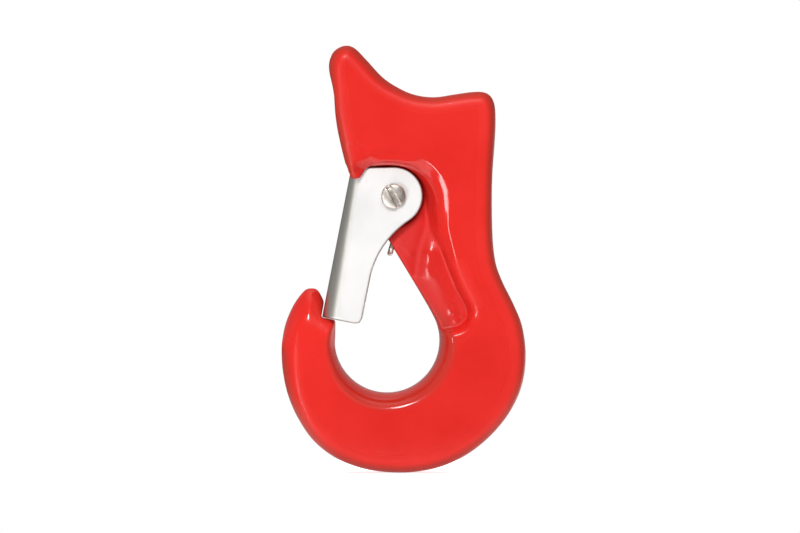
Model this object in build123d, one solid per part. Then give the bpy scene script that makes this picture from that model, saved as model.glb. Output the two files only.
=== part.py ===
from build123d import *
from math import acos, asin, atan2, cos, degrees, hypot, pi, radians, sin, sqrt
import os

# A sliding choker hook for 10 mm wire rope, with a sprung safety latch.
# Millimetres. X runs from the latch side to the hook's back, Y is its thickness, Z is up.
# The origin is the middle of the rope eye's throat. Points in the hook's plane are (x, z).

# ------------------------------------------------------------------ rope eye
rope_bore = 12.5            # throat diameter, for 10 mm rope
throat_length = 11.0        # parallel part of the bore
bore_tilt = 20.0            # degrees that the bore falls towards the hook's back
mouth_left = (15.0, 18.0)   # flare at the latch side's face: width across Y, height
mouth_right = (15.4, 27.0)  # flare at the back
flare_ease = 0.22           # share of the flare that is open half way out
flare_overlap = 1.0         # the flares start this far inside the throat's ends

# ------------------------------------------------------------------ head, the block round the eye
head_thickness = 26.0
face_foot = (-16.3, -13.2)  # the chin: lower end of the face on the latch side
face_bow = 3.5              # degrees that the face turns less than a straight one would at the horn
horn_centre = (-18.0, 22.0)
horn_radius = 4.9
saddle_centre = (11.3, 40.3)
saddle_radius = 29.0
back_x = 27.3               # the back's upper corner
back_waist = (26.3, -20.0)  # the back's shallow hollow
corner_radius = 4.4
edge_radius = 3.6           # rounding of the forging's outer edges

# ------------------------------------------------------------------ neck and bowl
neck_thickness = 21.6
neck_top_z = 0.0            # the head thins to the neck between these two heights
neck_low_z = -31.0
neck_joint_z = -33.0        # where the neck passes into the swept bowl
neck_joint_x = 26.5
bowl_centre = (-5.1, -61.2)
bowl_radius = 15.7
back_centre = (-0.3, -64.2)
back_radius = 36.3
bowl_thickness = 20.4
bowl_crown = 6.2            # rounding of the bowl's inner edges
joint_crown = 0.4           # and of the neck's inner edges at the joint
shoulder = (27.3, -37.0)    # the back just under the joint
belly = 1.9                 # the bowl's lower corner stands this far past its circle
shoulder_waist = 0.8        # how far the back runs inside its circle above the bowl

# ------------------------------------------------------------------ beak
beak_angle = 183.0          # where the beak leaves the bowl, clockwise from +X
beak_top = (-28.2, -45.4)
beak_thickness = 16.4       # at its root
limb_crown = 4.6            # rounding of its inner edges

# ------------------------------------------------------------------ latch
pivot = (-3.15, -18.1)
latch_lean = 11.1           # degrees that the shut latch leans off upright
latch_width = 17.6
latch_gauge = 1.5           # sheet thickness
latch_head_radius = 8.7
latch_spine = 14.15         # distance from the pin's axis to the spine's outer face
latch_top = 5.8             # how far the spine reaches above the pin's axis, along itself
latch_reach = 39.6          # and below it
latch_depth = 12.0          # depth of the channel at its free end
latch_hollow = 27.8         # radius of the hollow under the head
latch_corner = 1.8
spine_round = 4.6           # rounding of the spine's outer edges
seat_gap = 0.15             # between the shut latch and the beak's seat
latch_gap = 0.6             # clearance round the latch

# ------------------------------------------------------------------ web, hood and recesses
web_thickness = 5.6         # between the latch's ears
boss_radius = 8.0
ridge_proud = 1.4           # height of the ridge along each recess's floor
ridge_radius = 7.5
ridge_ends = ((7.9, -35.5), (17.4, -52.6))

# ------------------------------------------------------------------ screw and nut
pin_diameter = 5.0
pin_clearance = 0.06        # radial, the latch's ears on the screw
web_clearance = 0.05        # radial, the web on the screw
ear_play = 0.12             # between an ear and the screw's head or the nut
head_diameter = 7.4
head_height = 2.0
head_chamfer = 0.45
slot_width = 1.2
slot_depth = 1.1
slot_angle = 118.0
nut_flats = 8.0
nut_height = 3.8
collar_height = 1.05        # of the nut's round collar, past its flats
collar_diameter = 7.0
nut_chamfer = 0.4
thread_clearance = 0.02
thread_end = 0.4            # of the screw past the nut
tip_chamfer = 0.5

# ------------------------------------------------------------------ spring
spring_wire = 1.6
coil_play = 0.4             # between the coil and the screw
coil_gap = 0.2              # between the coil and the web or an ear
leg_gap = 0.1               # between the spring's outer legs and the floors of the recesses
bridge_drop = 16.2          # from the pin's axis down the neck to the spring's bridge
bridge_gap = 0.9            # between the bridge and the neck's inner edge
spring_end_gap = 0.9        # between the wire's end and the spine, inside its rounded corner
spring_end_drop = 15.5      # down the spine to the spring's free ends
bridge_bend = 1.9           # bend radius of the wire's centre line

FAR = 60.0


def at(point, y=0.0):
    """A point of the hook's plane, as a place in space."""
    return Vector(point[0], y, point[1])


def along(point, degrees_up, distance):
    """The point at a distance from another, in a direction measured from +X towards +Z."""
    a = radians(degrees_up)
    return (point[0] + distance * cos(a), point[1] + distance * sin(a))


def slab(edges, low, high):
    """A closed outline in the hook's plane, made solid between two values of Y."""
    return extrude(Pos(0, low, 0) * Face(Wire(edges)), high - low, dir=(0, 1, 0))


# ------------------------------------------------------------------ derived places
def cross_tangent(centre_a, radius_a, centre_b, radius_b, side=1):
    """The line that passes between two circles: where it touches each, and its normal."""
    dx = centre_b[0] - centre_a[0]
    dz = centre_b[1] - centre_a[1]
    swing = degrees(acos((radius_a + radius_b) / hypot(dx, dz)))
    normal = degrees(atan2(dz, dx)) - side * swing
    return along(centre_a, normal, radius_a), along(centre_b, normal + 180, radius_b), normal


neck_on_boss, neck_on_bowl, neck_normal = cross_tangent(pivot, boss_radius, bowl_centre, bowl_radius)
leg_y = latch_width / 2 - latch_gauge - coil_gap - spring_wire / 2
floor_y = leg_y - spring_wire / 2 - leg_gap


def back_distance(angle):
    """Distance from the bowl's centre to the back circle, in a direction off +X."""
    ox = bowl_centre[0] - back_centre[0]
    oz = bowl_centre[1] - back_centre[1]
    b = ox * cos(radians(angle)) + oz * sin(radians(angle))
    return -b + sqrt(b * b + back_radius**2 - ox * ox - oz * oz)


# ------------------------------------------------------------------ hook body
def head_outline():
    """The outline in the hook's plane, from the chin over the head and down to below the neck's joint."""
    horn_out, saddle_in, _ = cross_tangent(horn_centre, horn_radius, saddle_centre, saddle_radius, -1)
    corner_x = back_x - corner_radius
    saddle_rise = sqrt((saddle_radius + corner_radius) ** 2 - (corner_x - saddle_centre[0]) ** 2)
    corner_centre = (corner_x, saddle_centre[1] - saddle_rise)
    corner_turn = degrees(atan2(-saddle_rise, corner_x - saddle_centre[0]))
    saddle_out = along(saddle_centre, corner_turn, saddle_radius)
    corner_mid = along(corner_centre, (corner_turn + 180) / 2, corner_radius)
    corner_out = (back_x, corner_centre[1])

    to_horn = (horn_centre[0] - face_foot[0], horn_centre[1] - face_foot[1])
    face_angle = degrees(atan2(to_horn[1], to_horn[0]) + asin(horn_radius / hypot(*to_horn))) - face_bow
    horn_in = along(horn_centre, face_angle + 90, horn_radius)
    face_end = at(along((0, 0), face_angle + 180, 1))
    horn_mid = along(horn_centre, 90, horn_radius)

    below = neck_joint_z - 8
    neck_run = (neck_on_boss[1] - below) / cos(radians(neck_normal + 180))
    inner_low = along(neck_on_boss, neck_normal + 90, neck_run)
    back_joint, back_low = (neck_joint_x, neck_joint_z), (neck_joint_x + 2.2, below)
    web_x = pivot[0] - boss_radius
    return [
        TangentArc(at(horn_in), at(face_foot), tangent=face_end),
        ThreePointArc(at(horn_in), at(horn_mid), at(horn_out)),
        Line(at(horn_out), at(saddle_in)),
        ThreePointArc(at(saddle_in), at(along(saddle_centre, 270, saddle_radius)), at(saddle_out)),
        ThreePointArc(at(saddle_out), at(corner_mid), at(corner_out)),
        Spline(at(corner_out), at(back_waist), at(back_joint), at(back_low),
               tangents=[(0, 0, -1), (0.36, 0, -1)]),
        Line(at(back_low), at(inner_low)),
        Line(at(inner_low), at(neck_on_boss)),
        ThreePointArc(at(neck_on_boss), at(along(pivot, 195, boss_radius)), at((web_x, pivot[1]))),
        Line(at((web_x, pivot[1])), at((web_x, face_foot[1]))),
        Line(at((web_x, face_foot[1])), at(face_foot)),
    ]


def head_block():
    """Head and neck, thinned from the head to the neck, with rounded outer edges."""
    hh, nh = head_thickness / 2, neck_thickness / 2
    block = slab(head_outline(), -hh, hh)
    side = []
    for sign in (1, -1):
        top, thick, thin = (0, sign * hh, FAR), (0, sign * hh, neck_top_z), (0, sign * nh, neck_low_z)
        bottom = (0, sign * nh, -2 * FAR)
        side += [
            Line(top, thick),
            Spline(thick, thin, tangents=[(0, 0, -1), (0, 0, -1)]),
            Line(thin, bottom),
        ]
    side += [Line((0, -hh, FAR), (0, hh, FAR)), Line((0, -nh, -2 * FAR), (0, nh, -2 * FAR))]
    profile = extrude(Pos(-FAR, 0, 0) * Face(Wire(side)), 2 * FAR, dir=(1, 0, 0))
    block = block & profile
    rims = [
        e for e in block.edges()
        if abs(e.center().Y) > nh - 0.3 and not is_flat_along_x(e)
        and (e.center().X > 15 or e.bounding_box().min.Z > face_foot[1] - 0.1)
        and e.center().Z > neck_joint_z - 8 and e.bounding_box().size.Z > 0.1
    ]
    block = fillet(rims, edge_radius)
    lower = Box(4 * FAR, 4 * FAR, 2 * FAR, align=(Align.CENTER, Align.CENTER, Align.MAX))
    return block - Pos(0, 0, neck_joint_z) * lower


def is_flat_along_x(edge):
    """True for the two lines where the head's thickness begins or ends its taper."""
    box = edge.bounding_box().size
    return box.Z < 0.01 and box.Y < 0.01


def ring_section(inner, outer, half, crown, edge):
    """A section standing across the hook, between two points of its plane, crowned on the inside."""
    length = hypot(outer[0] - inner[0], outer[1] - inner[1])
    x_dir = at(outer) - at(inner)
    plane = Plane(origin=at(inner), x_dir=x_dir, z_dir=x_dir.cross(Vector(0, 1, 0)))
    k = edge * (1 - sqrt(0.5))
    rim = [
        Line((crown, -half), (length - edge, -half)),
        ThreePointArc((length - edge, -half), (length - k, -half + k), (length, -half + edge)),
        Line((length, -half + edge), (length, half - edge)),
        ThreePointArc((length, half - edge), (length - k, half - k), (length - edge, half)),
        Line((length - edge, half), (crown, half)),
        EllipticalCenterArc((crown, 0), crown, half, 90, arc_size=180),
    ]
    return plane * make_face(rim)


def bowl_lofts(joint):
    """The bowl, from the neck's own end face, and the beak, from the bowl's own end face."""
    bowl_half, neck_half, beak_half = bowl_thickness / 2, neck_thickness / 2, beak_thickness / 2
    start = neck_normal + 180
    around = (
        # direction from the bowl's centre, swell past the back circle, half thickness, crown
        (start, belly * 0.15, neck_half, bowl_crown * 0.4),
        (start / 2, -shoulder_waist, (neck_half + bowl_half) / 2, bowl_crown * 0.7),
        (0, belly * 0.1, bowl_half, bowl_crown),
        (-24, belly * 0.4, bowl_half, bowl_crown),
        (-48, belly * 0.15, bowl_half, bowl_crown),
        (-72, belly * 0.15, bowl_half, bowl_crown),
        (-96, belly * 0.35, bowl_half, bowl_crown),
        (-120, belly, bowl_half, bowl_crown),
        (-144, belly * 0.45, (bowl_half * 2 + beak_half) / 3, (bowl_crown + limb_crown) / 2),
        (-166, belly * 0.1, (bowl_half + beak_half * 3) / 4, limb_crown),
        (-beak_angle, 0, beak_half, limb_crown),
    )
    neck_in = along(neck_on_bowl, neck_normal + 90, -13.0)
    stub = loft([joint, ring_section(neck_in, shoulder, neck_half, joint_crown, edge_radius)], ruled=True)
    stub_end = stub.faces().sort_by(Axis.Z)[0]
    sections = [ring_section(neck_in, shoulder, neck_half, joint_crown, edge_radius)]
    for angle, swell, half, crown in around:
        inner = along(bowl_centre, angle, bowl_radius)
        outer = along(bowl_centre, angle, back_distance(angle) + swell)
        sections.append(ring_section(inner, outer, half, crown, edge_radius))
    bowl = loft(sections)

    root = [f for f in bowl.faces() if f.geom_type == GeomType.PLANE and f.center().X < bowl_centre[0]][0]
    root_in = along(bowl_centre, -beak_angle, bowl_radius)
    root_out = along(bowl_centre, -beak_angle, back_distance(-beak_angle))
    root_mid = ((root_in[0] + root_out[0]) / 2, (root_in[1] + root_out[1]) / 2)
    width = hypot(root_out[0] - root_in[0], root_out[1] - root_in[1])
    sections = [root]
    for share in (0.22, 0.45, 0.65, 0.82, 0.94):
        breadth = (1 - share**1.6) ** 0.7
        depth = (1 - share**2) ** 0.55
        mid = (
            root_mid[0] + (beak_top[0] - root_mid[0]) * share,
            root_mid[1] + (beak_top[1] - root_mid[1]) * share,
        )
        tilt = -beak_angle * (1 - share) - 180 * share
        inner = along(mid, tilt, -width / 2 * breadth)
        outer = along(mid, tilt, width / 2 * breadth)
        sections.append(
            ring_section(inner, outer, beak_half * depth, limb_crown * breadth, edge_radius * breadth)
        )
    beak = loft(sections + [Vertex(*at(beak_top))])
    return stub, stub_end, bowl, root, beak


def without(solid, ends):
    """A solid's faces, less the end faces where it joins its neighbour."""
    return [
        f for f in solid.faces()
        if all((f.center() - e.center()).length > 0.001 or abs(f.area - e.area) > 0.001 for e in ends)
    ]


def forging():
    """Head, bowl and beak as one solid, sewn together where they share an end face."""
    head = head_block()
    joint = head.faces().sort_by(Axis.Z)[0]
    stub, stub_end, bowl, root, beak = bowl_lofts(joint)
    skin = without(head, [joint]) + without(stub, [joint, stub_end])
    skin += without(bowl, [stub_end, root]) + without(beak, [root])
    return Part() + Solid(Shell(skin))


def bore_plane(distance):
    """Square to the rope's path, at a distance along it; local Y points up, local X along -Y."""
    a = radians(bore_tilt)
    path = Vector(cos(a), 0, -sin(a))
    return Plane(origin=path * distance, x_dir=(0, 1, 0), z_dir=path)


def bore_cutters():
    """The rope's passage: a parallel throat, and the oval flare of each mouth."""
    radius = rope_bore / 2
    half = throat_length / 2
    throat = extrude(bore_plane(-half) * Circle(radius), throat_length)
    a = radians(bore_tilt)
    face_lean = (horn_centre[0] - horn_radius - face_foot[0]) / (horn_centre[1] - face_foot[1])
    to_face = -(face_foot[0] - face_foot[1] * face_lean) / (cos(a) + sin(a) * face_lean)
    flares = []
    for mouth, reach in ((mouth_left, -to_face), (mouth_right, back_waist[0] / cos(a))):
        side = 1 if reach > 0 else -1
        start = side * (half - flare_overlap)
        inside = start - side * flare_overlap
        wide, high = mouth[0] / 2, mouth[1] / 2
        sections = [bore_plane(inside) * Rot(0, 0, 90) * Circle(radius - flare_overlap * 0.3)]
        for share, opening in ((0.5, flare_ease), (1.0, 1.0), (1.25, 1.75)):
            sections.append(
                bore_plane(start + (reach - start) * share)
                * Ellipse(radius + (wide - radius) * opening, radius + (high - radius) * opening)
            )
        flares.append(loft(sections))
    return [throat] + flares


def latch_point(toward_spine, down):
    """A point in the shut latch's own directions, measured from the pin."""
    a = radians(latch_lean)
    return (
        pivot[0] - toward_spine * cos(a) - down * sin(a),
        pivot[1] + toward_spine * sin(a) - down * cos(a),
    )


def recess_cutter():
    """One side's dished recess, which the open latch swings into. Y above zero."""
    deep, shallow = floor_y, head_thickness / 2 + 1.0
    chin = (face_foot[0] - 1.7, face_foot[1] - 0.9)
    floor = [
        chin, (-14.2, -13.9), (-10.5, -12.6), (-2.5, -11.8), (3.2, -13.8), (7.2, -19.5), (8.2, -28.0),
        (10.6, -37.0), (15.8, -47.0), (18.6, -52.8), (15.8, -56.8), (8.0, -58.6),
    ]
    brink = [
        chin, (-14.0, -12.9), (-10.6, -7.8), (-2.0, -4.7), (6.0, -6.8), (13.0, -14.8), (13.1, -27.5),
        (14.8, -36.5), (18.4, -46.5), (22.1, -54.5), (19.8, -61.0), (8.0, -66.5),
    ]
    faces = []
    for wall, y in ((floor, deep), (brink, shallow)):
        gate = [at((-8.0, wall[-1][1]), y), at((-FAR / 2, wall[0][1]), y)]
        rim = [
            Spline(*[at(p, y) for p in wall]),
            Line(at(wall[-1], y), gate[0]),
            Line(gate[0], gate[1]),
            Line(gate[1], at(wall[0], y)),
        ]
        faces.append(Face(Wire(rim)))
    return loft(faces, ruled=True)


def ridge():
    """The ridge along one recess's floor: a long rounded rib. Y above zero."""
    start, end = at(ridge_ends[0]), at(ridge_ends[1])
    y = floor_y + ridge_proud - ridge_radius
    run = end - start
    rib = extrude(Plane(origin=start, z_dir=run) * Circle(ridge_radius), run.length)
    rib += Pos(*start) * Sphere(ridge_radius)
    rib += Pos(*end) * Sphere(ridge_radius)
    own_half = Box(4 * FAR, 2 * FAR, 4 * FAR, align=(Align.CENTER, Align.MIN, Align.CENTER))
    return (Pos(0, y, 0) * rib) & own_half


def cylinder_across(point, radius, low, high):
    """A cylinder along Y, between two values of Y."""
    plane = Plane(origin=at(point, low), x_dir=(1, 0, 0), z_dir=(0, 1, 0))
    return extrude(plane * Circle(radius), high - low)


def block_across(left, right, bottom, top, low, high):
    """A box given by its limits along X, Z and Y."""
    return Pos((left + right) / 2, (low + high) / 2, (bottom + top) / 2) * Box(
        right - left, high - low, top - bottom
    )


def make_hook_body():
    body = forging() - bore_cutters()
    web, slot = web_thickness / 2, latch_width / 2 + latch_gap
    roof = pivot[1] + latch_head_radius + latch_gap
    web_x = pivot[0] - boss_radius
    cuts = [block_across(-FAR, web_x, face_foot[1] - 4, roof, -slot, slot)]
    recess = recess_cutter()
    for side in (1, -1):
        low, high = sorted((side * web, side * slot))
        cuts.append(cylinder_across(pivot, latch_head_radius + latch_gap, low, high))
        cuts.append(block_across(web_x - 1, pivot[0], pivot[1], roof, low, high))
        cuts.append(recess if side > 0 else recess.mirror(Plane.XZ))
    body -= cuts
    rib = ridge()
    body += [rib, rib.mirror(Plane.XZ)]
    seat = [
        latch_point(latch_spine + seat_gap, latch_reach - 16),
        latch_point(latch_spine + seat_gap, latch_reach + latch_gap),
        latch_point(latch_spine - 16, latch_reach + latch_gap),
        latch_point(latch_spine - 16, latch_reach - 16),
    ]
    outline = [Line(at(seat[i]), at(seat[(i + 1) % 4])) for i in range(4)]
    body -= slab(outline, -FAR, FAR)
    body -= cylinder_across(pivot, pin_diameter / 2 + web_clearance, -FAR, FAR)
    return body


# ------------------------------------------------------------------ latch
def latch_outline():
    """The latch seen from the side: a round head, a hollow under it and a long square foot."""
    r = latch_head_radius
    mouth = latch_spine - latch_depth
    hollow_down = sqrt(latch_hollow**2 + 2 * latch_hollow * r + r * r - (mouth - latch_hollow) ** 2)
    hollow = (mouth - latch_hollow, hollow_down)
    turn = atan2(hollow[1], hollow[0])
    head_end = (r * cos(turn), r * sin(turn))
    hollow_mid = (
        hollow[0] + latch_hollow * cos(-(pi - turn) / 2),
        hollow[1] + latch_hollow * sin(-(pi - turn) / 2),
    )
    top = (latch_spine, -latch_top)
    top_angle = atan2(top[1], top[0]) - acos(r / hypot(*top))
    head_start = (r * cos(top_angle), r * sin(top_angle))
    mid_angle = (top_angle + turn - 2 * pi) / 2
    head_mid = (r * cos(mid_angle), r * sin(mid_angle))
    c = latch_corner
    k = c * (1 - sqrt(0.5))
    foot = latch_reach

    def p(point):
        return at(latch_point(*point))

    return [
        Line(p(top), p((latch_spine, foot))),
        Line(p((latch_spine, foot)), p((mouth + c, foot))),
        ThreePointArc(p((mouth + c, foot)), p((mouth + k, foot - k)), p((mouth, foot - c))),
        Line(p((mouth, foot - c)), p((mouth, hollow_down))),
        ThreePointArc(p((mouth, hollow_down)), p(hollow_mid), p(head_end)),
        ThreePointArc(p(head_end), p(head_mid), p(head_start)),
        Line(p(head_start), p(top)),
    ]


def channel(inset):
    """The folded sheet's outer form, or with an inset its inner one: a long block, round-backed."""
    spine, half, r = latch_spine - inset, latch_width / 2 - inset, spine_round - inset
    k = r * (1 - sqrt(0.5))
    origin = at(latch_point(0, -FAR))
    plane = Plane(origin=origin, x_dir=at(latch_point(1, -FAR)) - origin, z_dir=at(pivot) - origin)
    section = plane * make_face([
        Line((-FAR, -half), (spine - r, -half)),
        ThreePointArc((spine - r, -half), (spine - k, -half + k), (spine, -half + r)),
        Line((spine, -half + r), (spine, half - r)),
        ThreePointArc((spine, half - r), (spine - k, half - k), (spine - r, half)),
        Line((spine - r, half), (-FAR, half)),
        Line((-FAR, half), (-FAR, -half)),
    ])
    return extrude(section, 2 * FAR)


def make_latch():
    latch = slab(latch_outline(), -latch_width, latch_width) & channel(0)
    latch -= channel(latch_gauge)
    latch -= cylinder_across(pivot, pin_diameter / 2 + pin_clearance, -FAR, FAR)
    return latch


# ------------------------------------------------------------------ screw and nut
def make_latch_screw():
    """A cheese-headed slotted screw: the pin that the latch turns on."""
    face = latch_width / 2 + ear_play
    end = face + nut_height + thread_end
    screw = cylinder_across(pivot, head_diameter / 2, -face - head_height, -face)
    rim = screw.edges().group_by(Axis.Y)[0]
    screw = chamfer(rim, head_chamfer)
    screw += cylinder_across(pivot, pin_diameter / 2, -face - head_height / 2, end)
    tip = screw.edges().group_by(Axis.Y)[-1]
    screw = chamfer(tip, tip_chamfer)
    slot = Box(head_diameter * 2, slot_depth * 2, slot_width)
    return screw - Pos(*at(pivot, -face - head_height)) * Rot(0, -slot_angle, 0) * slot


def make_lock_nut():
    """A hexagon nut with a plain collar, on the screw's far end."""
    face = latch_width / 2 + ear_play
    plane = Plane(origin=at(pivot, face), x_dir=(1, 0, 0), z_dir=(0, 1, 0))
    hexagon = RegularPolygon(nut_flats / 2, 6, major_radius=False)
    nut = extrude(plane * hexagon, nut_height - collar_height)
    nut = chamfer(nut.faces().sort_by(Axis.Y)[-1].edges(), nut_chamfer)
    nut += cylinder_across(pivot, collar_diameter / 2, face, face + nut_height)
    return nut - cylinder_across(pivot, pin_diameter / 2 + thread_clearance, -FAR, FAR)


# ------------------------------------------------------------------ spring
def make_latch_spring():
    """A double torsion spring: two coils on the screw, joined by a bridge across the neck.

    Each coil is a flat arc, two half turns that each carry the wire half way inwards, and a flat arc."""
    radius = pin_diameter / 2 + coil_play + spring_wire / 2
    inner_y = web_thickness / 2 + coil_gap + spring_wire / 2
    edge_in = along(neck_on_boss, neck_normal + 90, sqrt(bridge_drop**2 - boss_radius**2))
    bridge = along(edge_in, neck_normal, spring_wire / 2 + bridge_gap)
    start = tangent_angle(bridge, radius, 1)
    rest = latch_point(latch_spine - latch_gauge - spring_wire / 2 - spring_end_gap, spring_end_drop)
    finish = start + 360 + (tangent_angle(rest, radius, -1) - start) % 360
    flat = (finish - start - 360) / 2
    step = (leg_y - inner_y) / 2
    wide = hypot(radius, step / 2)

    def coil(angle, y, reach=radius):
        return at(along(pivot, angle, reach), y)

    def half_turn(angle, y):
        """Half a turn in a tilted plane, so that it starts and ends square to the screw."""
        middle = coil(angle + 90, y - step / 2, wide)
        return ThreePointArc(coil(angle, y), middle, coil(angle + 180, y - step))

    first, last = coil(start, leg_y), coil(finish, inner_y)
    bend_end = at(bridge, leg_y) - (at(bridge, leg_y) - first).normalized() * bridge_bend
    across = at(bridge, leg_y - bridge_bend)
    corner = at(bridge, leg_y)
    k = 1 - sqrt(0.5)
    bend_mid = corner + (bend_end - corner) * k + (across - corner) * k
    path = Wire([
        Line(at(bridge), across).edge(),
        ThreePointArc(across, bend_mid, bend_end).edge(),
        Line(bend_end, first).edge(),
        ThreePointArc(first, coil(start + flat / 2, leg_y), coil(start + flat, leg_y)).edge(),
        half_turn(start + flat, leg_y).edge(),
        half_turn(start + flat + 180, leg_y - step).edge(),
        ThreePointArc(coil(finish - flat, inner_y), coil(finish - flat / 2, inner_y), last).edge(),
        Line(last, at(rest, inner_y)).edge(),
    ])
    ring = Plane(origin=at(bridge), z_dir=(0, 1, 0)) * Circle(spring_wire / 2)
    half = sweep(ring, path)
    return half + half.mirror(Plane.XZ)


def tangent_angle(point, radius, side):
    """Where a line from a point meets a circle round the pin: its direction from the pin's axis."""
    away = (point[0] - pivot[0], point[1] - pivot[1])
    return degrees(atan2(away[1], away[0]) + side * acos(radius / hypot(*away)))


# ------------------------------------------------------------------ all parts
def main():
    os.makedirs("parts", exist_ok=True)
    makers = {
        "hook_body": make_hook_body,
        "latch": make_latch,
        "latch_screw": make_latch_screw,
        "lock_nut": make_lock_nut,
        "latch_spring": make_latch_spring,
    }
    for name, make in makers.items():
        part = make()
        print(f"{name}: {part.volume:.0f} mm3, {len(part.solids())} solid, {len(part.faces())} faces")
        export_step(part, f"parts/{name}.step")


if __name__ == "__main__":
    main()
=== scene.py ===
# %% [markdown]
# # A forged sliding hook with a sprung latch
#
# The hook comes from a forging die, so nearly every edge on it is soft. It is then dipped
# or sprayed with thick red enamel, which softens the edges again and gives it a wet shine.
# A folded sheet-steel latch swings on a slotted screw inside the hook's head.
#
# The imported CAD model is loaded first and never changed. Each visible piece is then made
# again, in the same place and at the same size, with the softness and finish of the real one.

from math import atan2, cos, pi, radians, sin, sqrt

import bpy
import numpy as np
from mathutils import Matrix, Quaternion, Vector


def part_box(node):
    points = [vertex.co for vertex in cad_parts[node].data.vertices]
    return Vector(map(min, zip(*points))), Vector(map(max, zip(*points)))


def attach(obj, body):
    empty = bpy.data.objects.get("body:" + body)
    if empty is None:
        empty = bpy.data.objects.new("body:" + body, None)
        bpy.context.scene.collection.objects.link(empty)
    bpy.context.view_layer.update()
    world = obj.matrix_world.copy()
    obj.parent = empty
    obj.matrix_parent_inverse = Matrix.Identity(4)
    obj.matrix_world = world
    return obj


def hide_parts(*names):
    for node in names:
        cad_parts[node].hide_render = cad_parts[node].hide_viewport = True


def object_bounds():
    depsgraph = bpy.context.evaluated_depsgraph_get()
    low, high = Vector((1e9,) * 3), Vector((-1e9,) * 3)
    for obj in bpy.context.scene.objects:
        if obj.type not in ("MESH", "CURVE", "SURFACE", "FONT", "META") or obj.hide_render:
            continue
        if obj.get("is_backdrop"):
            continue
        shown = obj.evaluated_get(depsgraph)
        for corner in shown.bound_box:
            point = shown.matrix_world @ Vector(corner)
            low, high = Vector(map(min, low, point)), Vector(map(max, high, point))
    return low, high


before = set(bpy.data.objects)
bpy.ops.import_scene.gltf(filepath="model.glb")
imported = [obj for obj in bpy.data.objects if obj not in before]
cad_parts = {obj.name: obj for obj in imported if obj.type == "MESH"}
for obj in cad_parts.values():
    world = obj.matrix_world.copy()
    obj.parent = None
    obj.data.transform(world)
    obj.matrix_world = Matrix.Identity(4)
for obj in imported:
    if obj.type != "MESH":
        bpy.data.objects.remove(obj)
cad_low, cad_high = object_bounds()
MM = 0.001
print("CAD box in mm:", [round(v / MM, 1) for v in (*cad_low, *cad_high)])


# %% [markdown]
# ## A shape as a field
#
# A forging is hard to build from flat patches, because no edge on it is sharp. A field is
# easier: one number for every point of space, negative inside the metal and positive outside.
# Two fields are joined by taking the smaller number, and one is cut from another by taking the
# larger of it and the negative of the other. If the change from one to the other is eased over
# a few millimetres, the edge or the inner corner comes out rounded, like a forged one.

# %% Joining and cutting fields
def join(a, b, soft=0.0):
    """The smaller of two fields. Within soft of each other they blend along a parabola."""
    if soft == 0:
        return np.minimum(a, b)
    near = np.maximum(soft - np.abs(a - b), 0) / soft
    return np.minimum(a, b) - near * near * soft / 4


def both(a, b, soft=0.0):
    """Where both fields are inside: the larger of the two, blended like join."""
    return -join(-a, -b, soft)


def cut(a, b, soft=0.0):
    """Field a with b taken away: inside a and outside b."""
    return both(a, -b, soft)


def rounded(across, along, radius):
    """A corner between two faces, rounded: the length of the part of (across, along) past the
    radius, less the radius. Both are distances outside the two faces."""
    p, q = across + radius, along + radius
    return np.minimum(np.maximum(p, q), 0) + np.hypot(np.maximum(p, 0), np.maximum(q, 0)) - radius


def ease(value, low, high):
    """0 below low, 1 above high, and 3t² - 2t³ between them."""
    t = np.clip((value - low) / (high - low), 0, 1)
    return t * t * (3 - 2 * t)


# %% Distances in the flat plane of the hook
def smooth_loop(points, steps=8, closed=True):
    """A curve through the points (Catmull-Rom): each span is a cubic whose end slopes are half
    the step between its neighbours."""
    p = np.asarray(points, dtype=float)
    if closed:
        a, b, c, d = np.roll(p, 1, 0), p, np.roll(p, -1, 0), np.roll(p, -2, 0)
    else:
        q = np.vstack([2 * p[0] - p[1], p, 2 * p[-1] - p[-2]])
        a, b, c, d = q[:-3], q[1:-2], q[2:-1], q[3:]
    t = (np.arange(steps) / steps)[None, :, None]
    a, b, c, d = (v[:, None, :] for v in (a, b, c, d))
    curve = b + 0.5 * t * (c - a + t * (2 * a - 5 * b + 4 * c - d + t * (3 * (b - c) + d - a)))
    curve = curve.reshape(-1, 2)
    return curve if closed else np.vstack([curve, p[-1:]])


def outline_field(loop, x, z):
    """Distance to a closed outline, negative inside. The distance is that to the nearest side,
    and the sign comes from how often a line to the right crosses the outline."""
    start = np.asarray(loop)[None, :, :]
    end = np.roll(start, -1, axis=1)
    side = end - start
    here = np.stack([x.ravel(), z.ravel()], axis=1)[:, None, :]
    away = here - start
    share = np.clip((away * side).sum(-1) / np.maximum((side**2).sum(-1), 1e-12), 0, 1)
    gap = np.sqrt(((away - share[..., None] * side) ** 2).sum(-1)).min(axis=1)
    above = (start[..., 1] > here[..., 1]) != (end[..., 1] > here[..., 1])
    slope = side[..., 0] / np.where(np.abs(side[..., 1]) < 1e-12, 1e-12, side[..., 1])
    crossing = here[..., 0] < start[..., 0] + (here[..., 1] - start[..., 1]) * slope
    inside = (above & crossing).sum(axis=1) % 2 == 1
    return np.where(inside, -gap, gap).reshape(x.shape)


# %% [markdown]
# ## From a field to a skin
#
# A surface net turns the field into a mesh. Space is divided into small cells. Where a cell has
# corners both inside and outside, the skin passes through it, and the cell gets one vertex at
# the average of the places where its edges are crossed. Every crossed edge then gives one
# four-sided face, between the four cells round it. Marching cubes would do the same with
# triangles of very uneven size, which shows on a glossy finish.

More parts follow.
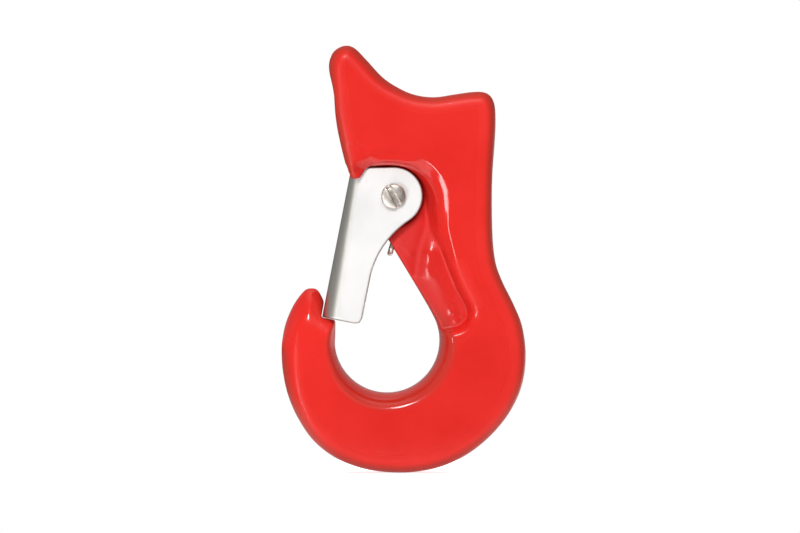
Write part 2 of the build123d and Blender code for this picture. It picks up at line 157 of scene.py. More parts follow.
# %% The surface net
def surface_net(field):
    """Vertices, in cell units, and quads of the surface where the field is zero."""
    cells = tuple(n - 1 for n in field.shape)
    total = np.zeros(cells + (3,), dtype=np.float32)
    count = np.zeros(cells, dtype=np.int8)
    inside = field < 0
    crossed = []
    for axis in range(3):
        near, far = np.swapaxes(field, 0, axis)[:-1], np.swapaxes(field, 0, axis)[1:]
        hit = np.swapaxes(inside, 0, axis)[:-1] != np.swapaxes(inside, 0, axis)[1:]
        place = np.where(hit, near / np.where(hit, near - far, 1), 0)
        hit, place = np.swapaxes(hit, 0, axis), np.swapaxes(place, 0, axis)
        crossed.append(hit)
        other = [n for n in range(3) if n != axis]
        for first in (0, 1):
            for second in (0, 1):
                part = [slice(None)] * 3
                part[other[0]] = slice(first, first + cells[other[0]])
                part[other[1]] = slice(second, second + cells[other[1]])
                count += hit[tuple(part)]
                total[..., axis] += place[tuple(part)]
                total[..., other[0]] += first * hit[tuple(part)]
                total[..., other[1]] += second * hit[tuple(part)]
    used = np.nonzero(count)
    number = np.full(cells, -1)
    number[used] = np.arange(len(used[0]))
    points = np.stack(used, axis=1) + total[used] / count[used][:, None]
    quads = []
    for axis in range(3):
        edge = np.stack(np.nonzero(crossed[axis]), axis=1)
        first, second = np.eye(3, dtype=int)[[(axis + 1) % 3, (axis + 2) % 3]]
        ring = [edge, edge - first, edge - first - second, edge - second]
        quad = np.stack([number[tuple(corner.T)] for corner in ring], axis=1)
        outward = inside[tuple(edge.T)]
        quads.append(np.where(outward[:, None], quad, quad[:, ::-1]))
    return points, np.vstack(quads)


def read_field(field, points):
    """The field's value between its grid points: a weighted mean of the eight round each place."""
    low = np.clip(points.astype(int), 0, np.array(field.shape) - 2)
    share = points - low
    value = 0
    for i in (0, 1):
        for j in (0, 1):
            for k in (0, 1):
                corner = field[low[:, 0] + i, low[:, 1] + j, low[:, 2] + k]
                weight = np.abs(np.array([1 - i, 1 - j, 1 - k]) - share).prod(axis=1)
                value = value + corner * weight
    return value


def settle(field, points, quads, rounds=3, probe=0.4, longest=0.5):
    """Evens out the net. Each vertex moves to the mean of its faces' centres, then back along
    the field's slope until the field is zero there. The slope is read a probe's length to each
    side, and no step is longer than longest, both in cells."""
    for _ in range(rounds):
        centres = points[quads].mean(axis=1)
        faces = np.bincount(quads.ravel(), minlength=len(points))
        points = np.stack(
            [
                np.bincount(quads.ravel(), np.repeat(centres[:, n], 4), minlength=len(points)) / faces
                for n in range(3)
            ],
            axis=1,
        )
        for _ in range(2):
            slope = np.stack(
                [
                    (read_field(field, points + step) - read_field(field, points - step)) / (2 * probe)
                    for step in np.eye(3) * probe
                ],
                axis=1,
            )
            size = np.maximum((slope**2).sum(axis=1), 1e-6)
            shift = read_field(field, points)[:, None] * slope / size[:, None]
            points = points - np.clip(shift, -longest, longest)
    return points


# %% The mesh from a field
def grid(low, high, step):
    """Three open arrays of grid places between two corners, that combine into a full grid."""
    sizes = [int(np.ceil((b - a) / step)) + 1 for a, b in zip(low, high)]
    x, y, z = (a + step * np.arange(n, dtype=np.float32) for a, n in zip(low, sizes))
    return x[:, None, None], y[None, :, None], z[None, None, :]


def piece_from_field(name, field, low, step, place=None):
    """A mesh object of the field's surface, in metres. place turns millimetres of the grid into
    millimetres of the hook, where the piece was worked out in directions of its own."""
    field = field.astype(np.float32)
    points, quads = surface_net(field)
    points = settle(field, points, quads) * step + np.array(low)
    if place is not None:
        points = place(points)
    return piece_from_arrays(name, points, quads)


def piece_from_arrays(name, points, faces):
    """A smooth-shaded mesh object from vertices in millimetres and faces of equal length."""
    mesh = bpy.data.meshes.new(name)
    mesh.vertices.add(len(points))
    mesh.vertices.foreach_set("co", (np.asarray(points) * MM).astype(np.float32).ravel())
    sides = faces.shape[1]
    mesh.loops.add(faces.size)
    mesh.loops.foreach_set("vertex_index", faces.ravel().astype(np.int32))
    mesh.polygons.add(len(faces))
    mesh.polygons.foreach_set("loop_start", np.arange(0, faces.size, sides, dtype=np.int32))
    mesh.update(calc_edges=True)
    mesh.validate()
    mesh.shade_smooth()
    piece = bpy.data.objects.new(name, mesh)
    bpy.context.scene.collection.objects.link(piece)
    print(f"{name}: {len(points)} vertices, {len(faces)} faces")
    return piece


# %% [markdown]
# ## The hook's outline
#
# Seen from the side, the hook is one closed outline with a mouth taken out of it. Both are
# smooth curves through a few places: round the horn, down the saddle, over the back's corner,
# round the bowl and up to the beak. The bowl is given as distances from its centre, because a
# smith would measure it so.

# %% Outline and mouth
BOWL = np.array([-5.1, -61.2])
BOWL_RADIUS = 15.7
PIVOT = np.array([-3.15, -18.1])
BOSS_RADIUS = 8.0


def round_bowl(angles, distances):
    """Places at distances from the bowl's centre, in directions measured down from +X."""
    a = np.radians(angles)
    return BOWL + np.stack([np.cos(a), -np.sin(a)], axis=1) * np.array(distances)[:, None]


horn = [(-20.9, 7.0), (-21.9, 14.5), (-22.5, 19.5), (-22.1, 22.8)]
horn += [(-20.6, 25.4), (-17.6, 26.8), (-14.7, 26.0)]
saddle = [(-11.3, 22.6), (-6.0, 17.0), (-0.2, 13.4), (4.5, 11.8), (9.5, 11.4), (15.0, 12.2), (20.0, 12.9)]
corner = [(23.6, 12.9), (25.9, 11.6), (27.1, 8.6), (27.3, 3.0), (27.0, -3.0)]
back = [(26.6, -10.0), (26.4, -20.0), (26.4, -28.0), (26.7, -33.5)]
back += [(27.6, -39.0), (29.7, -44.4), (32.6, -50.2)]
bowl_back = round_bowl(
    (-6, 6, 18, 30, 42, 54, 66, 78, 90, 102, 114, 126, 138, 150, 162, 174),
    (40.6, 41.7, 42.5, 42.5, 42.1, 41.7, 41.1, 40.2, 39.4, 38.9, 38.3, 37.2, 35.5, 34.0, 32.7, 31.8),
)
beak = [(-36.3, -59.8), (-35.3, -55.6), (-33.3, -51.0), (-31.0, -47.6)]
beak += [(-29.0, -45.7), (-27.3, -45.3), (-25.6, -46.6)]
past_beak = [(-24.3, -49.0), (-23.2, -51.4), (-21.4, -52.8), (-19.0, -51.0)]
face = [(-16.3, -19.0), (-16.3, -13.0), (-17.2, -9.6), (-19.0, -2.4)]

BOWL_PLACES = 15
mouth_bowl = round_bowl(np.linspace(-31, 172, BOWL_PLACES), np.full(BOWL_PLACES, BOWL_RADIUS))
mouth_beak = [(-20.6, -59.5), (-20.6, -55.0), (-21.0, -50.0), (-22.4, -44.6), (-27.0, -41.0)]
mouth_outside = [(-36.0, -37.0), (-40.0, -28.0), (-30.0, -14.6)]
mouth_chin = [(-15.5, -13.4), (-11.15, -13.6)]
mouth_neck = [(-11.15, -16.4), (-11.1, -19.8), (-9.6, -22.9), (-5.0, -30.6), (0.0, -38.9), (5.0, -47.2)]


# %% [markdown]
# ## The forging
#
# The outline is given a thickness. The head is thickest. It thins to the neck along an S, and
# the limb thins again towards the beak, whose tip closes in like a dome. The outer edges are
# rounded, more on the limb and the horn. The mouth's edge is crowned: a quarter of an ellipse
# leads from each flat face into the mouth, so that a sling lies on a rounded saddle.

# %% Thickness of the forging
HEAD_HALF, NECK_HALF, BOWL_HALF, BEAK_HALF = 13.0, 10.8, 10.2, 8.2
EDGE_ROUND = 3.6
STEP = 0.5

hook_low, hook_high = (-38.5, -14.0, -102.5), (38.5, 14.0, 29.0)
x, y, z = grid(hook_low, hook_high, STEP)
flat_x, flat_z = (np.broadcast_to(v, (x.size, z.size)) for v in (x[:, 0, :], z[0]))

outer_loop = smooth_loop([*horn, *saddle, *corner, *back, *bowl_back, *beak, *past_beak, *face])
mouth_loop = smooth_loop([*mouth_bowl, *mouth_beak, *mouth_outside, *mouth_chin, *mouth_neck])
outer = outline_field(outer_loop, flat_x, flat_z)
mouth = outline_field(mouth_loop, flat_x, flat_z)
print("outline in mm:", outer_loop.min(axis=0).round(1), outer_loop.max(axis=0).round(1))


def bump(start, end, width):
    """1 on the line between two places, falling off along a bell curve of that half width."""
    a, b = np.array(start), np.array(end)
    d = b - a
    share = np.clip(((flat_x - a[0]) * d[0] + (flat_z - a[1]) * d[1]) / (d @ d), 0, 1)
    gap = np.hypot(flat_x - a[0] - share * d[0], flat_z - a[1] - share * d[1])
    return np.exp(-((gap / width) ** 2))


BELOW_NECK = -42
LEFT_OF_BOWL = -17
BEAK_ROOT = -59.6
BEAK_HEIGHT = 14.4
BEAK_TOP = -40

turn = np.degrees(np.arctan2(BOWL[1] - flat_z, flat_x - BOWL[0])) % 360
turn = np.where(turn > 265, turn - 360, turn)
half = HEAD_HALF + (NECK_HALF - HEAD_HALF) * ease(-flat_z, 0, 31)
half = half + (BOWL_HALF - NECK_HALF) * ease(-flat_z, 36, 62)
on_limb = ease(turn, 110, 183) * (flat_z < BELOW_NECK)
half = half + (BEAK_HALF - BOWL_HALF) * on_limb
rise = np.clip((flat_z - BEAK_ROOT) / BEAK_HEIGHT, 0, 0.995)
near_beak = (flat_x < LEFT_OF_BOWL) & (flat_z > BEAK_ROOT) & (flat_z < BEAK_TOP)
half = np.where(near_beak, half * (1 - rise**2) ** 0.55, half)
crown = 0.8 + (5.4 * ease(turn, -62, 10) - 3.0 * ease(turn, 110, 175)) * (flat_z < BELOW_NECK)
crown = crown - (crown - 0.9) * ease(flat_z, -62, -55) * (flat_x < LEFT_OF_BOWL)
half = half - 1.5 * on_limb * np.clip(1 + outer / 9, 0, 1) ** 2
edge = EDGE_ROUND + 2.6 * on_limb + 1.4 * ease(flat_z, 4, 20)
edge = np.minimum(edge, half * 0.92)


# %% The forged blank
def spread(flat):
    """A flat array of x and z, ready to combine with y."""
    return flat[:, None, :]


deep = np.abs(y)
blank = rounded(spread(outer), deep - spread(half), spread(edge))
inward = np.maximum(spread(crown) - spread(mouth), 0) / spread(crown)
height = deep / spread(half)
reach = np.hypot(inward, height)
steep = np.hypot(inward / spread(crown), height / spread(half))
on_crown = reach * (reach - 1) / np.maximum(steep, 1e-6)
crowned = np.where(spread(mouth) < spread(crown), on_crown, deep - spread(half))
hook = both(blank, crowned, 0.6)
print("blank inside:", round(float((hook < 0).sum()) * STEP**3 / 1000, 1), "cm3")

# %% [markdown]
# ## The rope's eye
#
# A wire rope must not bend over a sharp edge, so its passage is parallel only in the middle and
# opens like a trumpet towards both faces, more at the back, where the rope turns up.

# %% The eye
ROPE_RADIUS = 6.25
TILT = radians(20)
THROAT_HALF = 5.5
TO_FACE, TO_BACK = 16.9, 27.8

run = x * cos(TILT) - z * sin(TILT)
lift = x * sin(TILT) + z * cos(TILT)
facing = (-run - THROAT_HALF) / (TO_FACE - THROAT_HALF)
backing = (run - THROAT_HALF) / (TO_BACK - THROAT_HALF)
out = np.clip(np.where(run < 0, facing, backing), 0, 1.6) ** 2.2
wide = ROPE_RADIUS + out * np.where(run < 0, 1.25, 1.45)
high = ROPE_RADIUS + out * np.where(run < 0, 2.75, 7.25)
eye = (np.hypot(lift / high, y / wide) - 1) * np.minimum(wide, high)
hook = cut(hook, eye, 2.4)

# %% [markdown]
# ## Room for the latch
#
# The latch's two ears straddle a web in the middle of the neck. Around them the head is milled
# or forged away: a pocket under the chin, and a dished recess on each side, deep enough for the
# latch to swing inwards. The recess is a height above the hook's middle plane, the same on both
# sides. It is the lower of the face and a wall that rises from the recess's foot, eased where
# they meet, and never lower than its floor. The floor keeps a low ridge for stiffness, a crease
# beside it, a pit above it and a few swellings left by the die. All of them stay lower than the
# inside of the latch's cheeks, so that the latch can open over them.

# %% Dished recess
FLOOR = 5.4
LEDGE_DROP = 0.5
recess_foot = [
    (-18.0, -15.0), (-15.4, -14.8), (-12.6, -14.0), (-9.4, -11.4), (-2.5, -11.0), (3.0, -12.9), (6.6, -18.0),
    (7.6, -24.0), (8.6, -30.0), (11.6, -37.0), (15.2, -45.5), (18.6, -52.5), (16.4, -56.6), (8.0, -58.6),
]
ledge_line = [
    (-14.0, -2.4), (-10.8, -3.4), (-8.0, -4.5), (-2.0, -4.9), (2.6, -5.7), (6.0, -7.8), (9.6, -10.6),
    (12.2, -14.0), (13.4, -18.5), (13.2, -24.0), (12.9, -29.0), (14.0, -34.0), (17.0, -42.0), (22.0, -53.0),
    (20.0, -59.4), (8.0, -66.0),
]


def inside_run(places):
    """Distance past an open run of places, made a closed area with the mouth side left far out.
    Positive outside it."""
    loop = smooth_loop(places, closed=False)
    gate = [(-8.0, places[-1][1]), (-30.0, places[0][1])]
    return outline_field(np.vstack([loop, gate]), flat_x, flat_z)


def along_run(places, width):
    """A bell curve of the distance to a smooth run through the places."""
    run = smooth_loop(places, 6, closed=False)
    return np.max([bump(a, b, width) for a, b in zip(run, run[1:])], axis=0)


on_top = (1 - ease(flat_x, -1, 7)) * ease(flat_z, -30, -16)
past_foot = inside_run(recess_foot)
slope = 1.5 + 0.7 * on_top + 0.9 * ease(-flat_z, 30, 42) + 2.0 * (1 - ease(flat_x, -15, -10))
softness = 4.0 - 2.2 * on_top - 1.0 * ease(-flat_z, 30, 42)
ridge_line = [(8.8, -35.0), (10.2, -41.0), (12.8, -47.0), (15.2, -52.0)]
crease_line = [(7.2, -25.0), (5.6, -31.0), (4.0, -37.0), (3.4, -41.0)]
ridge_height = 1.2 - 0.4 * ease(-flat_z, 40, 50)
pit = bump((7.4, -17.5), (7.8, -22.0), 2.4)
floor_level = FLOOR + ridge_height * along_run(ridge_line, 4.0)
floor_level = floor_level - 0.7 * along_run(crease_line, 1.7) - 1.5 * pit

# The swellings: the two ends of each, its half width and its height.
swellings = [
    ((7.9, -36.6), (7.7, -35.6), 2.0, 0.4),
    ((7.2, -41.0), (7.0, -40.0), 1.8, 0.4),
    ((17.8, -54.0), (17.6, -53.4), 1.0, 0.35),
    ((15.8, -56.0), (15.6, -55.4), 0.9, 0.35),
    ((-1.6, -31.8), (2.0, -35.2), 0.8, 0.35),
    ((14.3, -52.8), (14.1, -52.2), 0.9, 0.3),
]
for start, end, width, height in swellings:
    floor_level = floor_level + height * bump(start, end, width)
level = half - LEDGE_DROP * ease(-inside_run(ledge_line), -0.9, 0.9)
by_chin = bump((-12.6, -10.2), (-10.0, -9.4), 1.9)
over_chin = bump((-9.9, -4.9), (-9.2, -4.7), 1.1)
level = level - 1.7 * by_chin + 0.45 * over_chin
rising = FLOOR + slope * past_foot
near = np.maximum(softness - np.abs(level - rising), 0) / softness
wall = np.minimum(level, rising) - near * near * softness / 4
dish = both(wall, floor_level, 0.7)
fall = np.hypot(*np.gradient(dish, STEP))
hook = both(hook, (deep - spread(dish)) / spread(np.sqrt(1 + fall**2)), 0.5)

# %% Pocket and web
WEB_HALF = 2.8
LATCH_HALF = 8.8
POCKET_HALF = LATCH_HALF + 0.6
POCKET_RADIUS = 9.1
POCKET_EDGE = 0.4
ROOF = PIVOT[1] + POCKET_RADIUS
SILL = -17.0

from_pin = np.hypot(flat_x - PIVOT[0], flat_z - PIVOT[1])
behind_web = both(np.maximum(flat_z - ROOF, PIVOT[1] - flat_z), flat_x - PIVOT[0])
pocket = join(from_pin - POCKET_RADIUS, behind_web)
beside_web = np.abs(deep - (WEB_HALF + POCKET_HALF) / 2) - (POCKET_HALF - WEB_HALF) / 2
hook = cut(hook, both(spread(pocket), beside_web), POCKET_EDGE)
before_web = both(np.maximum(flat_z - ROOF, SILL - flat_z), flat_x - (PIVOT[0] - BOSS_RADIUS))
hook = cut(hook, both(spread(before_web), deep - POCKET_HALF), POCKET_EDGE)

# %% Seat for the latch's foot, and the pin's hole
LEAN = radians(11.1)
LATCH_SPINE = 14.15
LATCH_REACH = 39.6
SEAT_GAP = 0.2
SEAT_SPAN = 16
PIN_RADIUS = 2.5
PIN_PLAY = 0.06

toward_spine = -(flat_x - PIVOT[0]) * cos(LEAN) + (flat_z - PIVOT[1]) * sin(LEAN)
down = -(flat_x - PIVOT[0]) * sin(LEAN) - (flat_z - PIVOT[1]) * cos(LEAN)
seat = np.maximum(toward_spine - LATCH_SPINE, down - LATCH_REACH) - SEAT_GAP
seat = np.maximum(seat, np.maximum(LATCH_REACH - SEAT_SPAN - down, LATCH_SPINE - SEAT_SPAN - toward_spine))
hook = cut(hook, spread(seat), 0.4)
hook = cut(hook, spread(from_pin - PIN_RADIUS - PIN_PLAY), 0.2)

# %% [markdown]
# ## Painted shade and matt enamel on the forging
#
# Four numbers from 0 to about 1 follow from the same distances as the shape. Every vertex keeps
# them, and the enamel reads them. rim: towards the rims the enamel turns matt and loses its coat,
# and a painted shade makes it browner. hollow: deep in the recess and under the chin, a painted
# shade makes it darker. dull: in the valleys, by the seat and beyond the ridge, it is only duller.
# The fourth, on the bowl's crowned inner edge, is a painted shade that makes it browner.

# %% The hook's body
def vertices_of(piece):
    """The places of a piece's vertices in millimetres."""
    points = np.empty(len(piece.data.vertices) * 3, dtype=np.float32)
    piece.data.vertices.foreach_get("co", points)
    return points.reshape(-1, 3) / MM


def read_flat(flat, low, step, across, up):
    """A flat array's value at places across and up, in millimetres."""
    cells = np.stack([(across - low[0]) / step, 0 * across, (up - low[2]) / step], axis=1)
    return read_field(np.stack([flat, flat], axis=1), np.maximum(cells, 0))


def mark(piece, name, values):
    """Keeps one number for each vertex as an attribute, for the material to read."""
    piece.data.attributes.new(name, "FLOAT", "POINT").data.foreach_set("value", values.astype(np.float32))


hook_body = piece_from_field("forged_hook", hook, hook_low, STEP)
across, depth, up = vertices_of(hook_body).T
RIM_WIDTH = 8
RIM_SPARED = 0.8

on_side = ease(read_flat(half, hook_low, STEP, across, up) - np.abs(depth), 4, 8)
beak_gloss = ease(flat_z, -66, -57) * (1 - ease(flat_x, -27, -24.5))
by_seat = (1 - ease(mouth, 1.5, 4.0)) * (flat_x < LEFT_OF_BOWL) * ease(flat_z, -68, -62)
valley = along_run([(9.4, -29.0), (12.6, -37.5), (16.4, -47.0), (18.6, -54.0), (16.0, -57.6)], 1.6)
beyond_ridge = bump((16.0, -40.0), (20.6, -50.0), 3.0)
under_chin = bump((-13.4, -10.6), (-10.6, -9.9), 1.7)
marks = {
    # rim: the outer rims, which turn matt and get a painted shade that makes them browner.
    "rim": np.clip(1 + outer / RIM_WIDTH, 0, 1) * (1 - RIM_SPARED * beak_gloss),
    # hollow: deep in the recess and under the chin, where a painted shade makes the red darker.
    "hollow": ease(half - dish, 0.9, 5.5) + 1.3 * under_chin,
    "dull": np.max([ease(half - dish, 3.8, 5.2), valley, by_seat, beyond_ridge], axis=0),
    # The bowl's crowned inner edge, where a painted shade makes the red browner.
    "crown_shade": (1 - ease(mouth, 0.6 * crown, crown)) * (flat_z < -45),
}
for name, flat in marks.items():
    less_on_side = 1 - RIM_SPARED * on_side * (name == "rim")
    mark(hook_body, name, read_flat(flat, hook_low, STEP, across, up) * less_on_side)
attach(hook_body, "hook")
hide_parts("hook_body")


# %% [markdown]
# ## The latch
#
# The latch is one piece of sheet steel, blanked out and folded into a channel: a rounded back,
# the spine, and two cheeks that end above in round ears for the screw. As a field it is the
# channel's skin, 1.5 mm thick, kept only inside the blank's outline. It is worked out in its own
# directions, along and across the spine, so that the cells of the grid lie along the sheet. Two
# numbers are kept for its material: roll, where the sheet rolls over into the spine and a painted
# shade greys it, and sheared, at the blank's edge, which is painted dark brown.

# %% The folded sheet
SHEET = 1.5
HEAD_RADIUS = 8.7
SPINE_TOP = 5.8
HOLLOW_RADIUS = 27.8
CHANNEL_DEPTH = 12.0
TOP_ROUND, FOOT_ROUND = 3.4, 6.0
LATCH_STEP = 0.3

latch_low, latch_high = (-9.6, -9.6, -9.6), (15.2, 9.6, 40.6)
u, v, w = grid(latch_low, latch_high, LATCH_STEP)
flat_u, flat_w = (np.broadcast_to(a, (u.size, w.size)) for a in (u[:, 0, :], w[0]))

mouth_side = LATCH_SPINE - CHANNEL_DEPTH
hollow_u = mouth_side - HOLLOW_RADIUS
hollow_w = sqrt((HOLLOW_RADIUS + HEAD_RADIUS) ** 2 - hollow_u**2)
touch = atan2(hollow_w, hollow_u)
arc = np.linspace(touch - pi, 0, 14)
hollow = np.stack([hollow_u + HOLLOW_RADIUS * np.cos(arc), hollow_w + HOLLOW_RADIUS * np.sin(arc)], axis=1)
top_turn = atan2(-SPINE_TOP, LATCH_SPINE) - np.arccos(HEAD_RADIUS / np.hypot(LATCH_SPINE, SPINE_TOP))
arc = np.linspace(top_turn, touch - 2 * pi, 30)
head_arc = HEAD_RADIUS * np.stack([np.cos(arc), np.sin(arc)], axis=1)
foot = np.array([mouth_side, LATCH_REACH]) + np.array([(0, -1.8), (0.5, -0.5), (1.8, 0)])
blank_loop = np.vstack(
    [[(LATCH_SPINE, -SPINE_TOP)], head_arc, hollow[:-1], foot, [(LATCH_SPINE, LATCH_REACH)]]
)
blank_edge = outline_field(blank_loop, flat_u, flat_w)[:, None, :]

share_down = np.clip((w + SPINE_TOP) / (LATCH_REACH + SPINE_TOP), 0, 1)
spine_round = TOP_ROUND + (FOOT_ROUND - TOP_ROUND) * share_down
shell = rounded(u - LATCH_SPINE, np.abs(v) - LATCH_HALF, spine_round)
sheet = both(shell, -shell - SHEET, 0.25)
sheet = both(sheet, blank_edge, 0.5)
sheet = cut(sheet, (np.hypot(u, w) - PIN_RADIUS - PIN_PLAY) + 0 * v, 0.1)


def latch_place(points):
    """From the latch's own directions (towards the spine, across, down) to the hook's."""
    p, q, r = points.T
    return np.stack(
        [PIVOT[0] - p * cos(LEAN) - r * sin(LEAN), q, PIVOT[1] + p * sin(LEAN) - r * cos(LEAN)], axis=1
    )


latch = piece_from_field("folded_latch", sheet, latch_low, LATCH_STEP, latch_place)
across, _, up = vertices_of(latch).T
to_spine = -(across - PIVOT[0]) * cos(LEAN) + (up - PIVOT[1]) * sin(LEAN)
to_foot = -(across - PIVOT[0]) * sin(LEAN) - (up - PIVOT[1]) * cos(LEAN)
roll_width = 3.8 + 2.4 * np.clip(to_foot / LATCH_REACH, 0, 1)
from_edge = read_flat(blank_edge[:, 0, :], latch_low, LATCH_STEP, to_spine, to_foot)
# roll marks the rolled spine, where a painted shade makes the sheet greyer. It is also more metallic there.
mark(latch, "roll", np.clip((to_spine - LATCH_SPINE) / roll_width + 1, 0, 1))
# sheared: the blank's edge, painted dark brown as a thin dark outline.
mark(latch, "sheared", ease(from_edge, -0.5, -0.15))
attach(latch, "latch")
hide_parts("latch")

# %% [markdown]
# ## Screw and nut
#
# The latch turns on a slotted cheese-head screw. Years of screwdrivers have rounded its slot, so
# the slot is cut softly. The nut on the far side has a plain collar. Both are small fields on a
# fine grid, with the pin's axis as their middle.

# %% The screw
SCREW_STEP = 0.12
SCREW_HEAD_RADIUS = 3.7
SCREW_HEAD_HALF = 1.0
SCREW_FACE = LATCH_HALF + 0.12
DOME_RADIUS = 11.05
SLOT_HALF = 0.6
SLOT_TURN = radians(118)

screw_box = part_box("latch_screw")
screw_end = screw_box[1][1] / MM
screw_low = (-4.1, -SCREW_FACE - 2.4, -4.1)
a, b, c = grid(screw_low, (4.1, screw_end + 0.4, 4.1), SCREW_STEP)
from_axis = np.hypot(a, c)
head = rounded(from_axis - SCREW_HEAD_RADIUS, np.abs(b + SCREW_FACE + SCREW_HEAD_HALF) - SCREW_HEAD_HALF, 0.6)
dome = np.sqrt(from_axis**2 + (b + SCREW_FACE - 9.0) ** 2) - DOME_RADIUS
head = both(head, dome, 0.5)
across_slot = a * sin(SLOT_TURN) - c * cos(SLOT_TURN)
slot = np.maximum(np.abs(across_slot) - SLOT_HALF, b + SCREW_FACE + 0.9)
head = cut(head, slot, 0.5)
shank_start = -SCREW_FACE - SCREW_HEAD_HALF
shank_middle, shank_half = (screw_end + shank_start) / 2, (screw_end - shank_start) / 2
shank = rounded(from_axis - PIN_RADIUS, np.abs(b - shank_middle) - shank_half, 0.5)


def pin_place(points):
    """From places measured off the pin's axis to the hook's."""
    return points + np.array([PIVOT[0], 0, PIVOT[1]])


screw = piece_from_field("slotted_screw", join(head, shank, 0.2), screw_low, SCREW_STEP, pin_place)
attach(screw, "hook")
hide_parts("latch_screw")

# %% The nut
NUT_HALF_FLATS = 4.0
HEX_SHARE = 0.72
CHAMFER = 1.6
nut_low_y, nut_high_y = (corner[1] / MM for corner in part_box("lock_nut"))
nut_low = (-5.0, nut_low_y - 0.4, -5.0)
a, b, c = grid(nut_low, (5.0, nut_high_y + 0.4, 5.0), SCREW_STEP)
from_axis = np.hypot(a, c)
turns = np.radians([0, 60, 120])
flats = np.max([np.abs(a * cos(t) + c * sin(t)) for t in turns], axis=0) - NUT_HALF_FLATS
hex_top = nut_low_y + (nut_high_y - nut_low_y) * HEX_SHARE
nut = both(flats, np.maximum(nut_low_y - b, b - hex_top), 0.15)
nut = both(nut, (from_axis + (b - hex_top) * CHAMFER - NUT_HALF_FLATS - 0.25) / np.hypot(1, CHAMFER), 0.2)
collar = rounded(from_axis - NUT_HALF_FLATS * 0.88, np.maximum(nut_low_y - b, b - nut_high_y), 0.4)
nut = cut(join(nut, collar, 0.3), from_axis - PIN_RADIUS - 0.04 + 0 * b, 0.1)
lock_nut = piece_from_field("collar_nut", nut, nut_low, SCREW_STEP, pin_place)
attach(lock_nut, "hook")
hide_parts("lock_nut")

# %% [markdown]
# ## The spring
#
# Inside the latch a wire spring keeps it shut. It has a coil on each side of the web. A bridge
# under the pin joins them and bears on the neck, and a free leg of each presses on the latch's
# spine. It is a round wire carried along a path: bridge, straight leg, coil. The coils wind
# outwards, so that the free legs lie near the latch's cheeks and pass the neck when it opens.
#
# The bridge and the coils stay with the hook, and the free legs turn with the latch. Each leg
# takes the last 60 degrees of its coil with it and overlaps it there, so that the wire stays
# whole while the latch turns through 45 degrees.

# %% A wire along a path
WIRE = 0.8
COIL_RADIUS = PIN_RADIUS + 0.4 + WIRE
COIL_OUT = LATCH_HALF - SHEET - 0.2 - WIRE
COIL_IN = WEB_HALF + 0.2 + WIRE
LEG_CLEAR = 0.9
BRIDGE_REACH = 16.2
LEG_REACH = 15.5
OVERLAP = radians(60)

neck_turn = radians(-148.95)
neck_side = np.array([cos(neck_turn), sin(neck_turn)])
neck_way = np.array([-sin(neck_turn), cos(neck_turn)])
bridge = PIVOT + neck_side * (BOSS_RADIUS + WIRE + LEG_CLEAR)
bridge = bridge + neck_way * sqrt(BRIDGE_REACH**2 - BOSS_RADIUS**2)
leg_end = PIVOT + np.array([-cos(LEAN), sin(LEAN)]) * (LATCH_SPINE - SHEET - WIRE - LEG_CLEAR)
leg_end = leg_end + np.array([-sin(LEAN), -cos(LEAN)]) * LEG_REACH


def tangent_turn(place, side):
    """The direction, from the pin, in which a line from a place touches the coil's circle."""
    away = place - PIVOT
    return atan2(away[1], away[0]) + side * np.arccos(COIL_RADIUS / np.hypot(*away))


start = tangent_turn(bridge, 1)
finish = tangent_turn(leg_end, -1)
coil_turn = (finish - start) % (2 * pi) + 2 * pi
leg_way = np.array([-sin(start), cos(start)])

BEND = 1.9
bend = np.linspace(0, pi / 2, 9)
half_bridge = np.linspace(0, COIL_IN - BEND, 6)[:-1]
bridge_run = np.stack([bridge[0] + 0 * half_bridge, half_bridge, bridge[1] + 0 * half_bridge], axis=1)
bend_rise = BEND * (1 - np.cos(bend))
bend_out = COIL_IN - BEND + BEND * np.sin(bend)
bend_run = np.stack(
    [bridge[0] + leg_way[0] * bend_rise, bend_out, bridge[1] + leg_way[1] * bend_rise], axis=1
)


def round_pin(angles, out):
    """Places on the coil's circle round the pin, each at its own distance out from the middle."""
    turned = [PIVOT[0] + COIL_RADIUS * np.cos(angles), out, PIVOT[1] + COIL_RADIUS * np.sin(angles)]
    return np.stack(turned, axis=1)


wind = np.linspace(0, 1, 90)
coil_run = round_pin(start + coil_turn * wind, COIL_IN + (COIL_OUT - COIL_IN) * wind)
free = np.linspace(0, 1, 12)[1:, None]
overlap = finish - OVERLAP * (1 - np.linspace(0, 1, 14)[:-1])
overlap_run = round_pin(overlap, COIL_OUT + 0 * overlap)
free_run = coil_run[-1] + (np.array([leg_end[0], COIL_OUT, leg_end[1]]) - coil_run[-1]) * free
leg_path = np.vstack([overlap_run, coil_run[-1:], free_run])
straight = np.linspace(0, 1, 12)[1:-1, None]
leg_run = bend_run[-1] + (coil_run[0] - bend_run[-1]) * straight
half_path = np.vstack([bridge_run, bend_run, leg_run, coil_run])
path = np.vstack([half_path[:0:-1] * (1, -1, 1), half_path])


